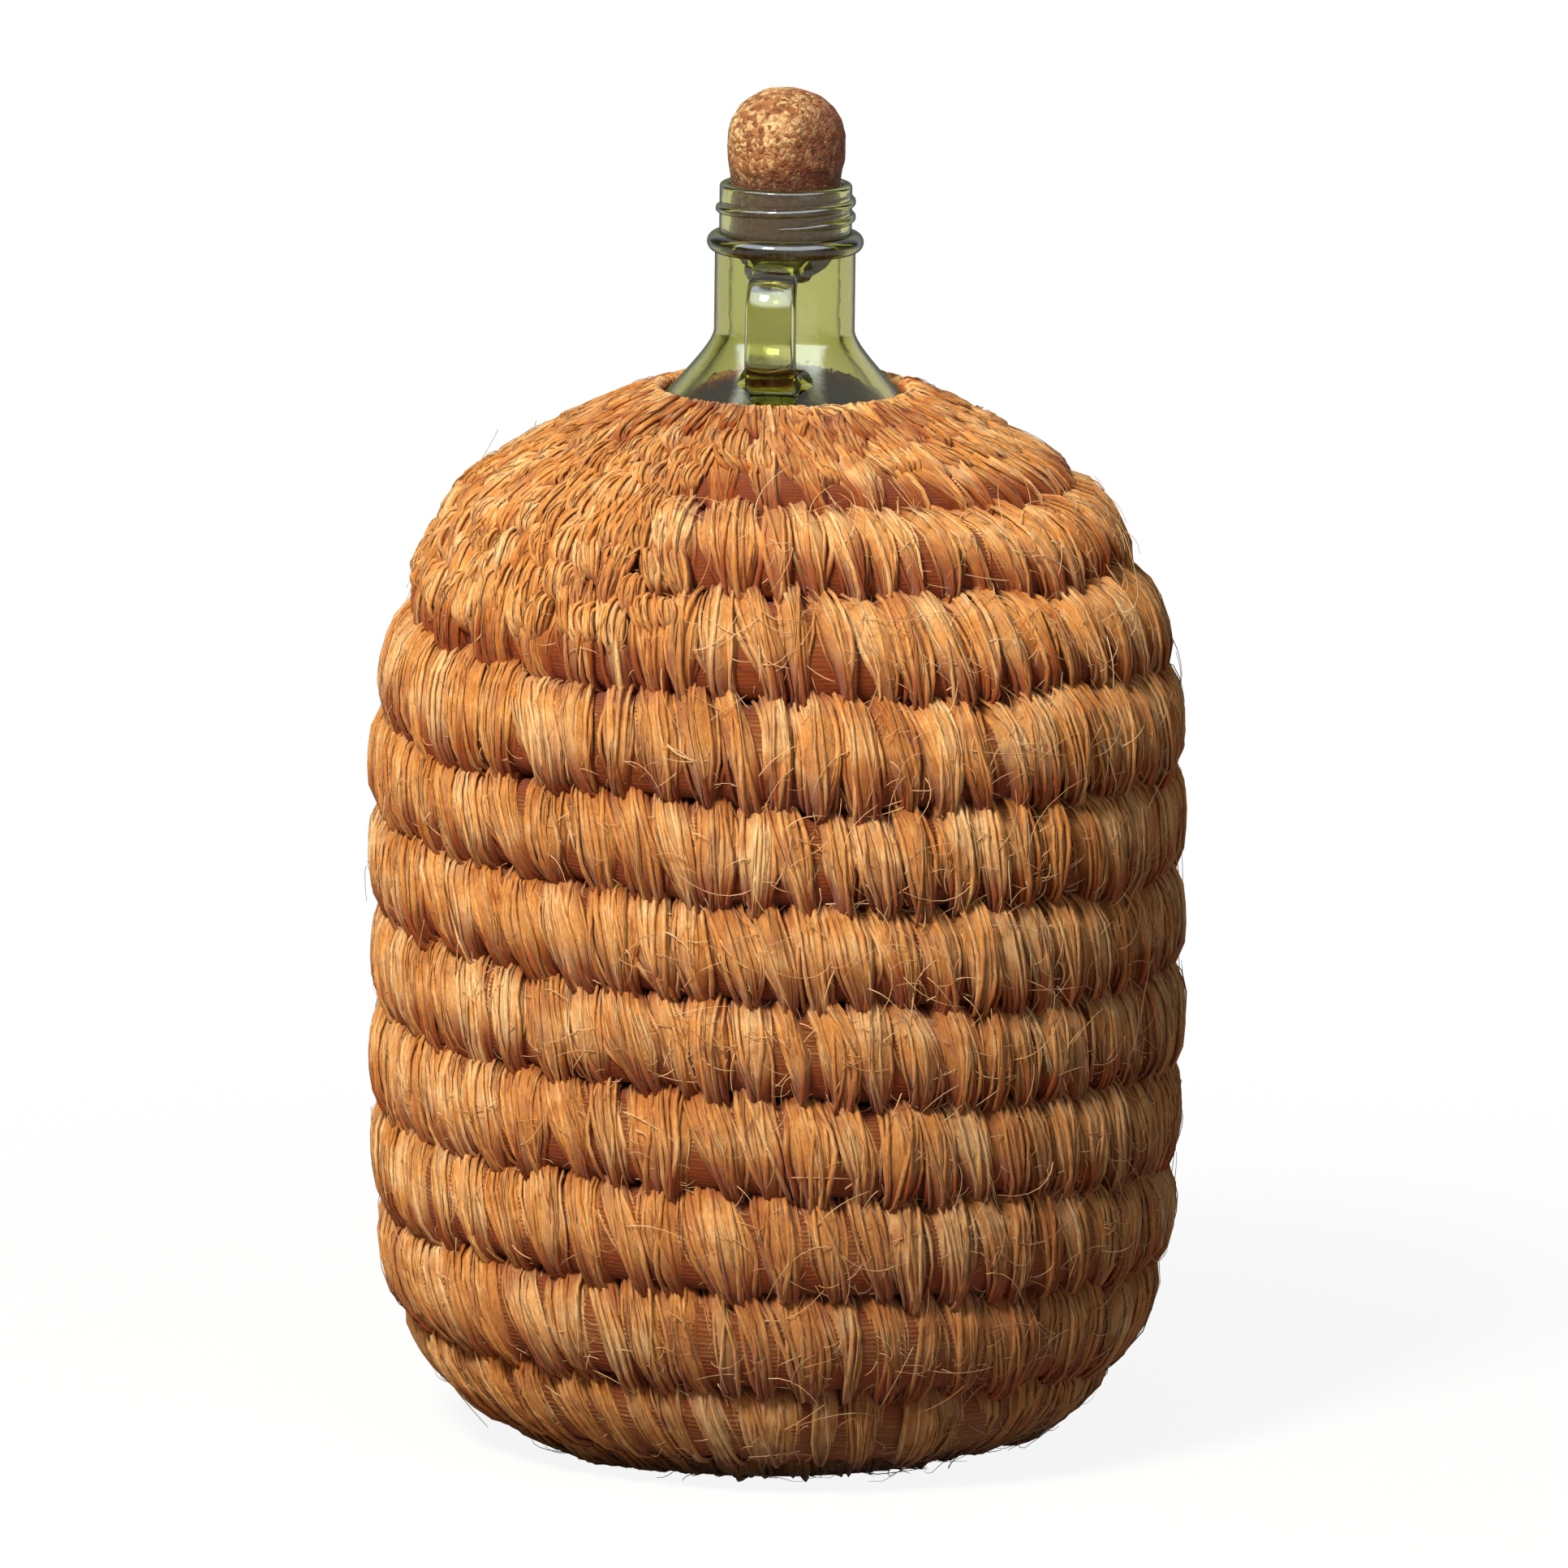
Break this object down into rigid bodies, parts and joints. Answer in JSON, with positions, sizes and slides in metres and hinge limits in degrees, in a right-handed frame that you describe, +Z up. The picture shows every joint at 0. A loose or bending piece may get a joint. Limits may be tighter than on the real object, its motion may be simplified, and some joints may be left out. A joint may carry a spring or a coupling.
{
  "type": "jacketed glass jug",
  "caption": "Glass jug with a screw finish and a finger ring on its neck, in a jacket of coiled wrapped rope, closed by a domed pull-out cork.",
  "frame": {"origin": "middle of the jacket's underside, on the surface that the jug stands on", "axes": "+Z up along the axis of the bottle, -Y towards the finger ring"},
  "size_m": [0.2246, 0.2246, 0.3737],
  "materials": {
    "green_glass": "smooth olive-green moulded glass",
    "pressed_cork": "matt pressed cork granules",
    "wrapped_rope": "hairy golden-brown jute yarn wrapped round a rope"
  },
  "bodies": {
    "jug": {"glass_jug": "green_glass", "glass_neck": "green_glass", "base_coil": "wrapped_rope", "wall_coil": "wrapped_rope", "shoulder_coil": "wrapped_rope", "collar_coil": "wrapped_rope"},
    "cork": {"cork_stopper": "pressed_cork"}
  },
  "joints": [
    {"name": "cork_pull", "type": "slide", "parent": "jug", "child": "cork", "axis": [0, 0, 1], "range_m": [0, 0.06]}
  ]
}
